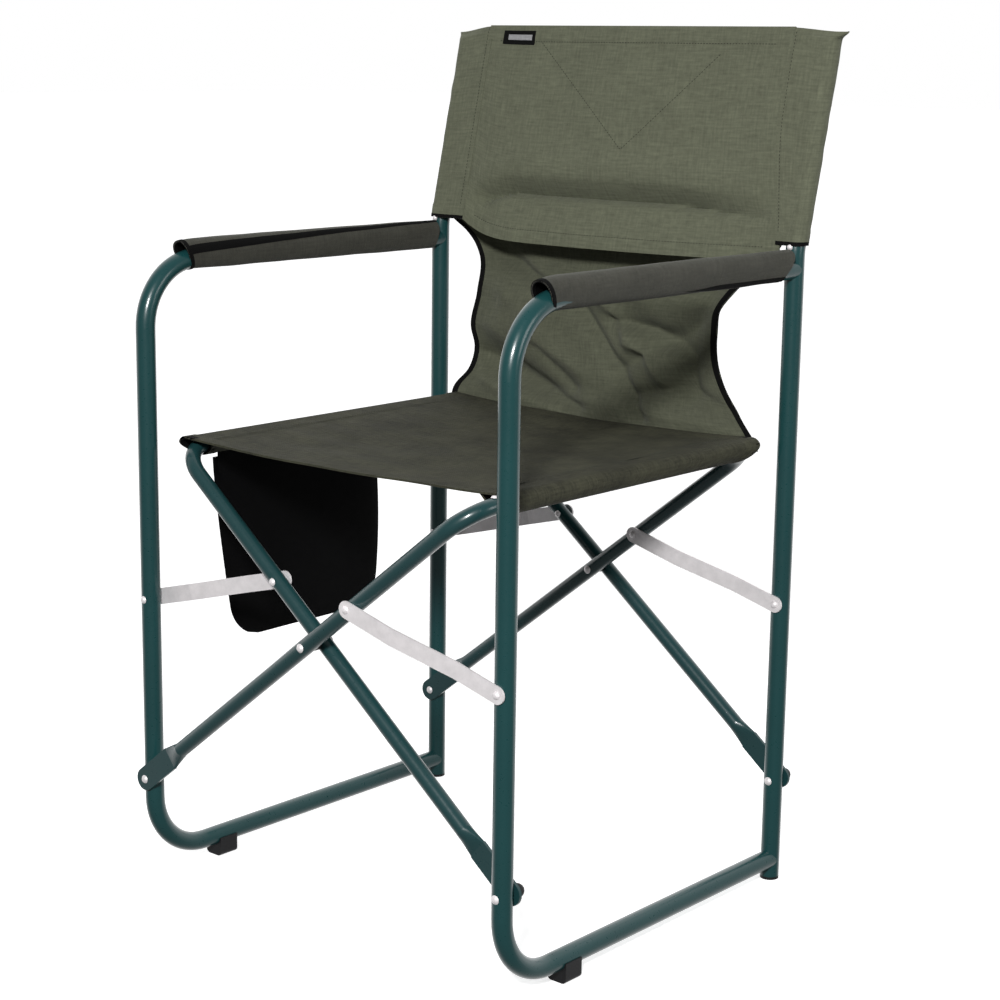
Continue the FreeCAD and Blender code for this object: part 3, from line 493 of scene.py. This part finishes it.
def back_front(z):
    """Row y of the plane in front of both leaning posts, where the taut cloth lies."""
    return post_axis_y(z) - BACK_R / math.cos(LEAN)


def seam_x(side, z):
    """Where the sleeve's seam runs on each side of the backrest."""
    if side < 0:
        return -0.200 + 0 * z
    return 0.2025 + 0.026 * smooth((0.815 - z) / 0.17)


def back_edge(x):
    """Height of the backrest's bottom edge: it climbs to the left post and hangs low at the right."""
    left, right = np.clip(-x / 0.202, 0, 1), np.clip(x / 0.228, 0, 1)
    return SAG_Z + (HEM_Z - SAG_Z) * left ** 7 + 0.004 * right ** 2


def back_grid(rows=84, columns=72):
    t = np.linspace(0, 1, rows)[:, None]
    s = np.linspace(0, 1, columns)[None, :]
    rough_z = mix(0.66, BACK_TOP, t)
    x = mix(seam_x(-1, rough_z) - LAP, seam_x(1, rough_z) + LAP, s)
    z = mix(back_edge(x), BACK_TOP + 0 * x, t)
    reach = smooth(np.minimum(s, 1 - s) / 0.055 - 0.18) * (1 - 0.5 * np.abs(2 * s - 1) ** 6)
    crease_z = CREASE_Z - 0.014 * smooth((-x - 0.13) / 0.07) - 0.006 * smooth((x - 0.05) / 0.15)
    deep = mix(1.0, 0.45, smooth((x - 0.10) / 0.11))
    above = np.exp(-((z - crease_z - 0.036) / 0.016) ** 2)
    into = np.where(z > crease_z, np.clip((crease_z + 0.024 - z) / 0.024, 0, 1) ** 1.4, 1.0)
    lip = smooth((crease_z - z) / 0.0045)
    below = np.clip((crease_z - z) / 0.050, 0, 1)
    forward = deep * (0.0034 * above - 0.0185 * into + 0.0105 * lip) + mix(0.0055, 0.0115, deep) * below
    forward = forward * reach
    forward += 0.0016 * ripple(x, 0 * x, z, (6, 1, 6), 1.7) * reach
    forward += 0.0007 * ripple(x, 0 * x, z, (22, 1, 9), 5.2) * reach
    y = back_front(z) + 0.0005 - forward
    return np.stack([x + 0 * z, y, z], axis=2)


back = back_grid()
back_rows, back_columns = back.shape[0] - 1, back.shape[1] - 1
raised = np.zeros(back.shape[:2])
raised[-6:] = raised[:5] = 0.0006
back_piece = sheet_mesh("backrest_cloth", back, [cloth, cloth], 0.0018, raised=raised)


def back_point(x, z):
    """Fractional row and column of the backrest's grid at a place on it."""
    left, right = seam_x(-1, z) - LAP, seam_x(1, z) + LAP
    column = (x - left) / (right - left) * back_columns
    row = (z - back_edge(x)) / (BACK_TOP - back_edge(x)) * back_rows
    return row, column


def back_line(corners, steps=160):
    """A line of places on the backrest through the corners (x, z)."""
    corners = np.array(corners, float)
    run = np.concatenate([[0], np.cumsum(np.linalg.norm(np.diff(corners, axis=0), axis=1))])
    at = np.linspace(0, run[-1], steps)
    return line_on(back, *back_point(np.interp(at, run, corners[:, 0]), np.interp(at, run, corners[:, 1])))


back_lines = [back_line(SEWN_V)]
wide = np.linspace(3, back_columns - 3, 400)
for row in (2.3, 4.9, back_rows - 6.2):
    back_lines.append(line_on(back, row, wide))
back_stitches = stitches("backrest_stitches", back_lines)

tag_rows, tag_columns = back_point(np.array(TAG_X), np.array(TAG_Z))
tag = strip_on("backrest_tag", back, np.linspace(*tag_rows, 5), np.linspace(*tag_columns, 9), binding,
               0.0009, 0.0004)
bar = strip_on("backrest_tag_bar", back, np.linspace(*(tag_rows + (1.7, -1.6)), 4),
               np.linspace(*(tag_columns + (1.3, -0.7)), 8), tag_cloth, 0.0013, 0.0002)

for piece in (back_piece, back_stitches, tag, bar):
    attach(piece, "frame_left")
    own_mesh(piece)
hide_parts("back_panel")


SLEEVE_FLAP = {-1: 1.05, 1: 1.9}   # how far a sleeve's closed top end spreads, in post radii
SLEEVE_DROP = {-1: 0.0065, 1: 0.0035}   # how far its outer top corner hangs
POST_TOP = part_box("post_cap_right")[1].z


def back_sleeve_grid(side, rows=60, turns=30, flat=9):
    """Cloth from the seam round the post and back to the seam; its top end is pressed flat."""
    low = HEM_Z - 0.002
    shut = (POST_TOP - low) / (BACK_TOP - 0.005 - low)
    t = np.concatenate([np.linspace(0, shut, rows - 10), np.linspace(shut, 1, 11)[1:]])[:, None]
    rough_z = mix(low, BACK_TOP - 0.005, t)
    closing = smooth((t - shut) / (1 - shut))
    radius = BACK_R * (1 + 0.05 * ripple(0 * t, 0 * t, rough_z, (1, 1, 60), side * 4.0))
    angle = np.linspace(0, math.pi, turns)[None, :]
    out = POST_X + radius * mix(1.0, SLEEVE_FLAP[side], closing) * np.sin(angle)
    seam = np.abs(seam_x(side, rough_z))
    to_post, to_seam = np.linspace(0, 1, flat)[None, :-1], np.linspace(0, 1, flat)[None, 1:]
    x = np.concatenate([mix(seam, POST_X, to_post), out, mix(POST_X, seam, to_seam)], axis=1)
    top = BACK_TOP - 0.001 - SLEEVE_DROP[side] * smooth((x - seam) / (POST_X + BACK_R - seam))
    z = mix(low, top, t)
    axis_y, front_y = post_axis_y(z), back_front(z)
    depth = radius * mix(1.0, 0.16, closing) / math.cos(LEAN)
    middle = axis_y - 0.004 * closing
    turn = middle[:, flat - 1:flat - 1 + turns] - depth * np.cos(angle)
    front = mix(front_y[:, :flat - 1], middle[:, :flat - 1] - depth, to_post)
    rear = mix(middle[:, 1 - flat:] + depth, front_y[:, 1 - flat:] + 0.0030, to_seam ** 1.2)
    y = np.concatenate([front, turn, rear], axis=1)
    y += 0.0006 * ripple(x, 0 * x, z, (30, 1, 22), side * 2.3)
    grid = np.stack([side * x, y, z], axis=2)
    return grid if side > 0 else grid[:, ::-1]


for side, name in ((-1, "left"), (1, "right")):
    grid = back_sleeve_grid(side)
    rows, columns = grid.shape[0] - 1, grid.shape[1] - 1
    lift = np.zeros(grid.shape[:2])
    lift[:4] = 0.0005
    sleeve = sheet_mesh(f"back_sleeve_cloth_{name}", grid, [cloth, black_cloth], raised=lift)
    seam_at = 1.2 if side > 0 else columns - 1.2
    upwards = np.linspace(0.5, rows - 1.5, 260)
    sewn = stitches(f"back_sleeve_stitches_{name}", [line_on(grid, upwards, seam_at),
                                                     line_on(grid, upwards, columns - seam_at)])
    edge = strip_on(f"back_sleeve_binding_{name}", grid, np.linspace(0, 0.9, 3),
                    np.linspace(0, columns, 60), binding, 0.0006)
    for piece in (sleeve, sewn, edge):
        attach(piece, f"frame_{name}")
    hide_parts(f"back_sleeve_{name}")


# ---------------------------------------------------------------- loose cloth behind the seat

CURTAIN_LOW, CURTAIN_TOP = 0.463, 0.704
CURTAIN_BACK = 0.4415              # how far behind the front uprights its flat parts hang
# hollow side edges, as (height, x)
LEFT_EDGE = ((0.463, -0.218), (0.486, -0.215), (0.507, -0.196), (0.532, -0.188), (0.556, -0.194),
             (0.596, -0.185), (0.638, -0.183), (0.663, -0.203), (0.679, -0.226), (0.704, -0.230))
RIGHT_EDGE = ((0.463, 0.214), (0.473, 0.209), (0.494, 0.185), (0.512, 0.170), (0.533, 0.159),
              (0.576, 0.154), (0.605, 0.158), (0.622, 0.172), (0.650, 0.205), (0.679, 0.228),
              (0.704, 0.230))


def through(knots, t):
    """A smooth curve through a few knots (place, value)."""
    at, value = np.array(knots).T
    slope = np.gradient(value, at)
    index = np.clip(np.searchsorted(at, t, side="right") - 1, 0, len(at) - 2)
    width = at[index + 1] - at[index]
    u = (t - at[index]) / width
    return ((2 * u ** 3 - 3 * u ** 2 + 1) * value[index] + (u ** 3 - 2 * u ** 2 + u) * width * slope[index]
            + (3 * u ** 2 - 2 * u ** 3) * value[index + 1] + (u ** 3 - u ** 2) * width * slope[index + 1])


def fold(x, z, corners, width, depth, ends=(1.0, 0.0)):
    """A crease along a line of (x, z) corners: depth back at its middle, fading along its length."""
    best = np.full(np.shape(x), 1e9)
    along = np.zeros(np.shape(x))
    corners = np.array(corners, float)
    run = np.concatenate([[0], np.cumsum(np.linalg.norm(np.diff(corners, axis=0), axis=1))])
    for k, (a, b) in enumerate(zip(corners, corners[1:])):
        way = b - a
        share = np.clip(((x - a[0]) * way[0] + (z - a[1]) * way[1]) / (way @ way), 0, 1)
        away = np.hypot(x - a[0] - share * way[0], z - a[1] - share * way[1])
        at = (run[k] + share * (run[k + 1] - run[k])) / run[-1]
        along = np.where(away < best, at, along)
        best = np.minimum(away, best)
    fade = mix(ends[0], ends[1], along)
    return depth * fade * np.exp(-np.abs(best / (width * (0.55 + 0.45 * fade))) ** 1.5)


# folds of the loose cloth: corners (x, z), width, depth backwards (negative for a ridge), and
# the share of that depth at the first and at the last corner
CURTAIN_FOLDS = (
    (((-0.214, 0.662), (-0.150, 0.640), (-0.070, 0.602)), 0.010, 0.024, (1.0, 0.6)),
    (((-0.196, 0.534), (-0.125, 0.508), (-0.030, 0.478)), 0.014, 0.056, (1.0, 0.2)),
    (((-0.040, 0.596), (0.006, 0.540), (0.058, 0.474)), 0.010, 0.020, (0.7, 0.9)),
    (((0.158, 0.596), (0.090, 0.560), (0.016, 0.526)), 0.013, 0.030, (1.0, 0.3)),
    (((0.012, 0.580), (0.070, 0.572), (0.146, 0.536)), 0.009, 0.020, (0.5, 1.0)),
    (((0.160, 0.620), (0.132, 0.565), (0.118, 0.510)), 0.018, 0.034, (1.0, 0.5)),
    (((0.176, 0.500), (0.100, 0.514), (0.030, 0.500)), 0.009, 0.020, (1.0, 0.1)),
    (((-0.150, 0.560), (-0.090, 0.540), (-0.040, 0.500)), 0.008, 0.008, (0.3, 1.0)),
    (((0.170, 0.640), (0.090, 0.630), (0.000, 0.612)), 0.012, 0.020, (1.0, 0.3)),
    (((-0.214, 0.646), (-0.168, 0.606), (-0.110, 0.584)), 0.030, -0.014, (0.3, 1.0)),
    (((-0.186, 0.562), (-0.100, 0.552), (-0.030, 0.520)), 0.018, -0.014, (1.0, 0.6)),
    (((-0.010, 0.606), (0.045, 0.562), (0.085, 0.522)), 0.010, -0.016, (0.6, 1.0)),
    (((0.160, 0.534), (0.096, 0.545), (0.040, 0.556)), 0.010, -0.014, (0.6, 1.0)),
    (((-0.070, 0.490), (0.060, 0.488), (0.190, 0.482)), 0.012, -0.010, (0.5, 1.0)),
    (((-0.196, 0.503), (-0.120, 0.484), (-0.050, 0.472)), 0.010, -0.012, (1.0, 0.3)),
)


# As the cloth goes back it moves sideways too, by this share of the way, so that its edges stay
# where they are seen from the front right.
SLANT = math.tan(VIEW_YAW)


FOLD_MOST = 0.024                  # no fold goes further back than this


def curtain_grid(rows=130, columns=120):
    t = np.linspace(0, 1, rows)[:, None]
    s = np.linspace(0, 1, columns)[None, :]
    height = mix(CURTAIN_LOW, CURTAIN_TOP, t)
    x = mix(through(LEFT_EDGE, height), through(RIGHT_EDGE, height), s)
    z = height + 0 * x
    upper = smooth((z - 0.600) / 0.058)
    slack = np.sin(math.pi * np.clip((z - CURTAIN_LOW) / 0.19, 0, 1)) ** 2
    ridge = mix(0.040, -0.110, smooth((z - 0.475) / 0.15))
    hang = 0.033 * upper * (1 - np.abs(x / 0.24) ** 4) + 0.024 * slack * smooth((x - ridge) / 0.14)
    inside = smooth(np.minimum(s, 1 - s) / 0.15)
    folds = (0.0024 * ripple(x, 0 * x, z, (16, 1, 16), 7.7)
             + 0.0010 * ripple(x, 0 * x, z, (45, 1, 40), 2.2))
    for corners, width, depth, ends in CURTAIN_FOLDS:
        folds = folds + fold(x, z, corners, width, depth, ends) * mix(0.08, 1.0, inside)
    folds = FOLD_MOST * np.tanh(folds / FOLD_MOST)
    seat_edge = mix(SEAT_ENDS[-1][2], SEAT_ENDS[1][2], smooth((x + 0.20) / 0.40)) + 0.0008
    back_by = mix(CURTAIN_BACK, seat_edge, smooth((0.500 - z) / 0.030))
    back_by = back_by + hang + folds * smooth((z - 0.464) / 0.02)
    return np.stack([x - SLANT * (hang + folds * (1 - inside)), chair_y(back_by), z], axis=2)


curtain = curtain_grid()
curtain_rows, curtain_columns = curtain.shape[0] - 1, curtain.shape[1] - 1
# the loose cloth's darker colour is painted shade
curtain_piece = sheet_mesh("curtain_cloth", curtain, [loose_painted_shade_cloth, loose_painted_shade_cloth])
TAPE = 2.3
tape_rows = np.linspace(1, curtain_rows - 4, 90)
curtain_tapes = [
    strip_on("curtain_binding_left", curtain, tape_rows, np.linspace(0, TAPE, 4), binding),
    strip_on("curtain_binding_right", curtain, tape_rows,
             np.linspace(curtain_columns - TAPE, curtain_columns, 4), binding)]
for piece in (curtain_piece, *curtain_tapes):
    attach(piece, "frame_left")
    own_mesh(piece)
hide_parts("back_curtain")


# ---------------------------------------------------------------- arms

ARM_LOW_R, ARM_HIGH_R, ARM_RISE = 0.0111, 0.0128, 0.0078
ARM_ENDS = {-1: (0.046, 0.056, 0.4285, 0.424), 1: (0.038, 0.048, 0.4285, 0.409)}


def arm_grid(side, rows=110, columns=44):
    """Sleeve round the arm tube and the foam on it, open at both ends."""
    front, front_low, rear, rear_low = ARM_ENDS[side]
    t = np.linspace(0, 1, rows)[:, None]
    angle = np.linspace(0, 2 * math.pi, columns, endpoint=False)[None, :]
    up = np.cos(angle)
    upper = smooth((up + 0.35) / 0.9)
    low_share = smooth((1 - up) / 2)
    y = chair_y(mix(mix(front, front_low, low_share), mix(rear, rear_low, low_share), t))
    radius = mix(ARM_LOW_R, ARM_HIGH_R, upper)
    puff = 0.0007 * np.sin(math.pi * t) * upper
    wobble = ripple(side * np.sin(angle) * 0.02 + 0 * y, y, 0 * y + up * 0.02, (40, 20, 40), side * 6.0)
    radius = radius + puff + 0.0007 * wobble
    x = radius * np.sin(angle) * mix(1.0, 0.97, upper)
    over = np.clip(chair_y(ARM_BEND) - y, 0, None)
    drop = ARM_BEND - np.sqrt(ARM_BEND ** 2 - over ** 2)
    z = ARM_Z + ARM_RISE * smooth((up + 1) / 2) + radius * up - 0.5 * drop
    return np.stack([side * POST_X + x, y, z], axis=2)


def arm_dark_strip(grid, side):
    """A black strip along the sleeve: it climbs the left sleeve and lies under the right one's rear."""
    rows, columns = grid.shape[0] - 1, grid.shape[1]
    if side < 0:
        t = np.linspace(0, 1, 60)
        centre = mix(columns * 0.190, columns * 0.055, t)
        half = mix(1.9, 1.1, t)
        row_at = t * rows
    else:
        t = np.linspace(0, 1, 40)
        centre = np.full(40, columns * 0.375)
        half = 1.5 * smooth(t * 3) + 0.05
        row_at = mix(0.55, 1.0, t) * rows
    across = np.linspace(-1, 1, 6)
    ri = row_at[:, None] + 0 * across
    ci = centre[:, None] + half[:, None] * across
    facing = normals(grid, True)
    outer = sample(grid, ri, ci) + sample(facing, ri, ci) * 0.0006
    return sheet_mesh(f"arm_dark_strip_{'left' if side < 0 else 'right'}", outer, [binding], 0.0008)


for side, name in ((-1, "left"), (1, "right")):
    grid = arm_grid(side)
    # the sleeve's darker colour is painted shade
    sleeve = sheet_mesh(f"arm_painted_shade_cloth_{name}", grid, [arm_painted_shade_cloth, black_cloth], closed=True)
    rim = np.concatenate([grid, grid[:, :1]], axis=1)
    mouth = strip_on(f"arm_binding_{name}", rim, np.linspace(0, 1.2, 3),
                     np.linspace(0, rim.shape[1] - 1, 80), binding, 0.0006)
    dark_strip = arm_dark_strip(grid, side)
    for piece in (sleeve, mouth, dark_strip):
        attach(piece, f"frame_{name}")
    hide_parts(f"arm_sleeve_{name}", f"arm_pad_{name}")


# ---------------------------------------------------------------- side pocket

def pocket_grid(rows=56, columns=60):
    """A flat bag: two layers, open at the top, closed at its round bottom."""
    low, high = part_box("side_pocket")
    x_mid = (low.x + high.x) / 2
    t = np.linspace(0, 1, rows)[:, None]
    z = mix(high.z - 0.004, low.z, t)
    front = low.y - 0.003 + 0.028 * t ** 1.3
    rear = high.y - 0.006 + 0.007 * np.sin(math.pi * t)
    corner = np.clip((t - 0.82) / 0.18, 0, 1)
    inward = 0.036 * (1 - np.sqrt(1 - corner ** 2))
    front, rear = front + inward * 0.9, rear - inward * 1.15
    half = columns // 2
    s = np.linspace(0, 1, half)
    s = np.concatenate([s, s[::-1]])[None, :]
    layer = np.concatenate([-np.ones(half), np.ones(half)])[None, :]
    y = mix(front, rear, s)
    belly = 0.0045 * np.clip(np.sin(math.pi * t), 0, 1) ** 0.7 + 0.0007
    swell = np.sqrt(np.clip(1 - (2 * s - 1) ** 2, 0, 1))
    dent = 0.0016 * ripple(layer + 0 * y, y, z + 0 * y, (3, 14, 14), 4.4)
    thick = (0.0008 + belly * swell) * (1 - 0.75 * corner ** 4)
    x = x_mid + layer * thick + dent * swell
    return np.stack([x, y, z + 0 * y], axis=2)


pocket = pocket_grid()
pocket_piece = sheet_mesh("pocket_cloth", pocket, [black_cloth, black_cloth], 0.0008, closed=True)
pocket_low, pocket_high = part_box("side_pocket")
hang_y = np.linspace(pocket_low.y + 0.002, pocket_high.y - 0.008, 40)[None, :]
hang_z = np.linspace(pocket_high.z + 0.0035, pocket_high.z - 0.022, 6)[:, None]
pocket_x = (pocket_low.x + pocket_high.x) / 2
hanger_grid = np.stack([pocket_x + 0.0022 + 0 * hang_y + 0 * hang_z, hang_y + 0 * hang_z,
                        hang_z + 0 * hang_y], axis=2)[:, ::-1]
hanger = sheet_mesh("pocket_hanger", hanger_grid, [black_cloth], 0.0010)
for piece in (pocket_piece, hanger):
    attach(piece, "pocket")
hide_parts("side_pocket")


# ---------------------------------------------------------------- studio

def studio_floor():
    mesh = bpy.data.meshes.new("studio_floor")
    size = 30.0
    mesh.from_pydata([(-size, -size, 0), (size, -size, 0), (size, size, 0), (-size, size, 0)], [],
                     [(0, 1, 2, 3)])
    floor = bpy.data.objects.new("studio_floor", mesh)
    bpy.context.scene.collection.objects.link(floor)
    material, tree, surface = new_material("pale_floor")
    place = node(tree, "TexCoord").outputs["Object"]
    speck = noise_at(tree, place, 3.0)
    tree.links.new(mix_colour(tree, speck, (0.90, 0.90, 0.90, 1), (0.93, 0.93, 0.93, 1)),
                   surface.inputs["Base Color"])
    surface.inputs["Roughness"].default_value = 0.9
    surface.inputs["Emission Color"].default_value = (1, 1, 1, 1)
    surface.inputs["Emission Strength"].default_value = 0.62
    mesh.materials.append(material)
    floor.visible_glossy = floor.visible_diffuse = False


def studio_world():
    """White to the eye. It lights the chair, and is mirrored by it, mainly from behind and aside."""
    world = bpy.data.worlds.new("studio")
    world.use_nodes = True
    tree = world.node_tree
    way = node(tree, "TexCoord").outputs["Generated"]
    facing = node(tree, "VectorMath", {0: way, 1: (-0.62, 0.72, 0.05)}, operation="DOT_PRODUCT")
    glow = node(tree, "MapRange", {0: facing.outputs["Value"], 1: -0.25, 2: 0.80, 3: 0.16, 4: 1.15},
                interpolation_type="SMOOTHSTEP").outputs[0]
    seen = node(tree, "LightPath").outputs["Is Camera Ray"]
    strength = node(tree, "Mix", {0: seen, 2: glow, 3: 1.0}, data_type="FLOAT").outputs[0]
    background = tree.nodes["Background"]
    background.inputs["Color"].default_value = (1, 1, 1, 1)
    tree.links.new(strength, background.inputs["Strength"])
    bpy.context.scene.world = world


def area_light(name, place, target, size, power):
    data = bpy.data.lights.new(name, "AREA")
    data.shape, data.size, data.energy = "DISK", size, power
    lamp = bpy.data.objects.new(name, data)
    lamp.location = place
    lamp.rotation_mode = "QUATERNION"
    lamp.rotation_quaternion = (Vector(target) - Vector(place)).to_track_quat("-Z", "Y")
    bpy.context.scene.collection.objects.link(lamp)


def studio_camera():
    """The photograph's view: its place, direction, slight roll and long lens."""
    yaw, pitch, roll = VIEW_YAW, 0.2075, 0.0138
    place = Vector((1.4374, -1.6380, 0.8680))
    data = bpy.data.cameras.new("camera")
    data.lens, data.sensor_width = 77.07, 36.0
    data.clip_start, data.clip_end = 0.05, 200
    camera = bpy.data.objects.new("camera", data)
    look = Vector((-math.sin(yaw) * math.cos(pitch), math.cos(yaw) * math.cos(pitch), -math.sin(pitch)))
    right = Vector((math.cos(yaw), math.sin(yaw), 0))
    up = right.cross(look)
    right, up = (right * math.cos(roll) + up * math.sin(roll), up * math.cos(roll) - right * math.sin(roll))
    camera.matrix_world = Matrix((
        (right.x, up.x, -look.x, place.x), (right.y, up.y, -look.y, place.y),
        (right.z, up.z, -look.z, place.z), (0, 0, 0, 1)))
    bpy.context.scene.collection.objects.link(camera)
    bpy.context.scene.camera = camera


studio_floor()
studio_camera()
studio_world()
area_light("key", place=(1.87, -2.67, 2.02), target=(0, 0, 0.5), size=0.5, power=120)
area_light("side", place=(3.0, 0.7, 1.2), target=(0, 0, 0.6), size=1.2, power=12)
bpy.context.scene.view_settings.view_transform = "Standard"
